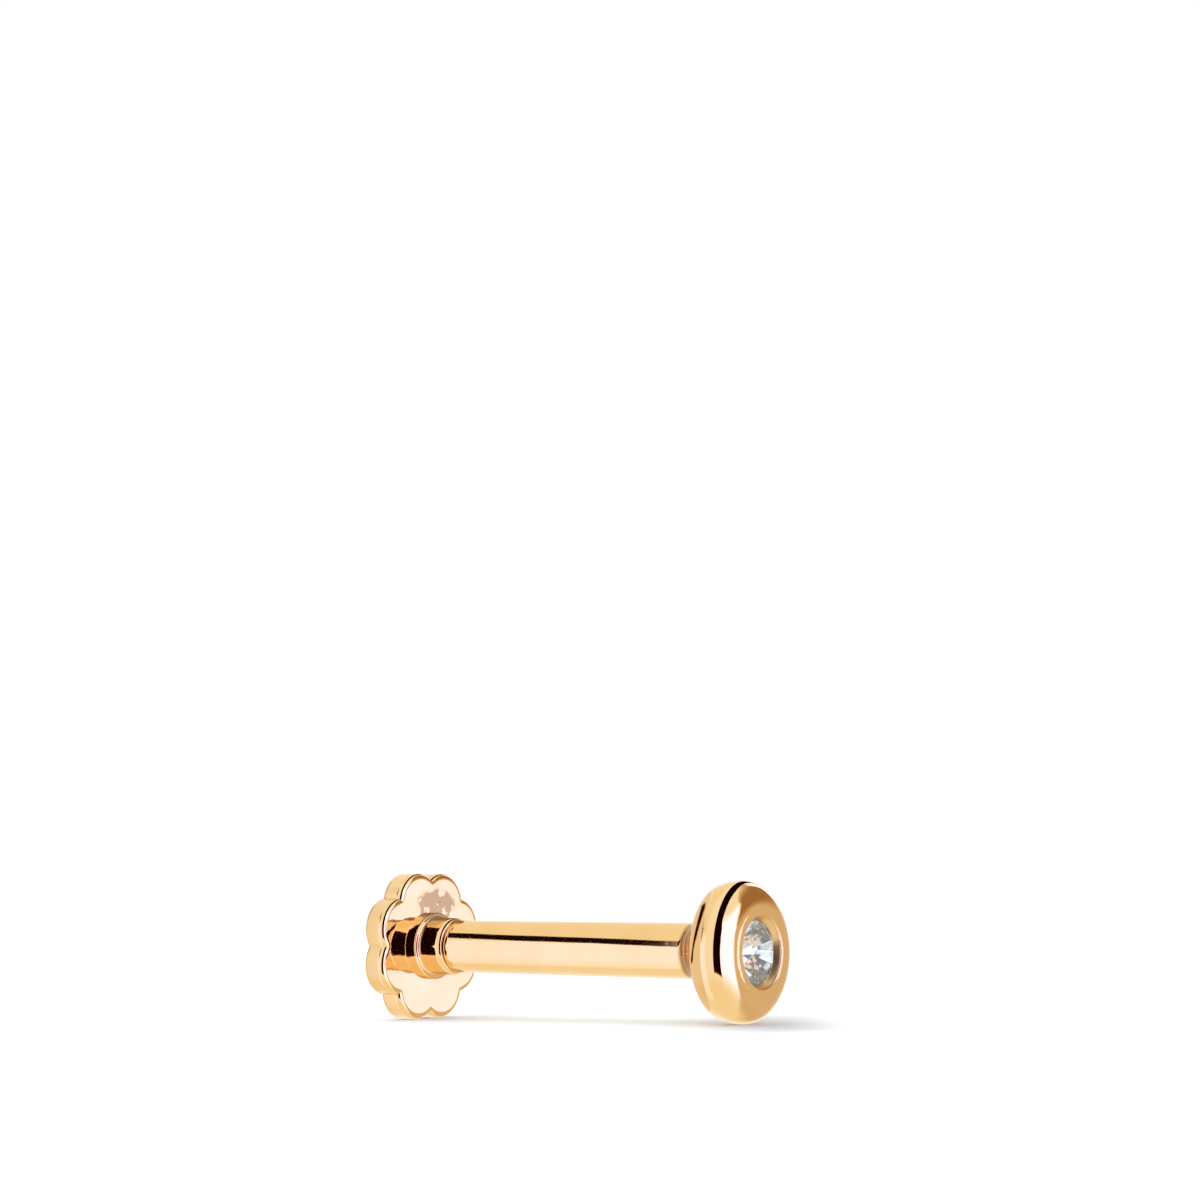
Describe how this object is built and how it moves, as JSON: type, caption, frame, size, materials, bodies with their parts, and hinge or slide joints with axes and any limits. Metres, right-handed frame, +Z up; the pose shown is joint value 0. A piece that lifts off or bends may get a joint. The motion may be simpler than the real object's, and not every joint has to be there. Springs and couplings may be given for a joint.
{
  "type": "screw back stud earring",
  "caption": "Small stud earring: a round stone in a rubbed-over ring on a hollow post, closed by a flower-shaped screw back with a threaded pin.",
  "frame": {"origin": "centre of the earring's footprint, on the surface under the flower's two lowest petals", "axes": "+X along the post towards the stone, -X towards the flower's outer face, +Z up from the surface"},
  "size_m": [0.0098, 0.0034, 0.0034],
  "materials": {
    "gold_front": "polished yellow gold",
    "stone": "clear faceted stone",
    "gold_back": "polished yellow gold"
  },
  "bodies": {
    "front": {"bezel_and_post": "gold_front", "stone": "stone"},
    "back": {"flower_back": "gold_back"}
  },
  "joints": [
    {"name": "back_unscrews", "type": "slide", "parent": "front", "child": "back", "axis": [-1, 0, 0], "range_m": [0, 0.003]}
  ]
}
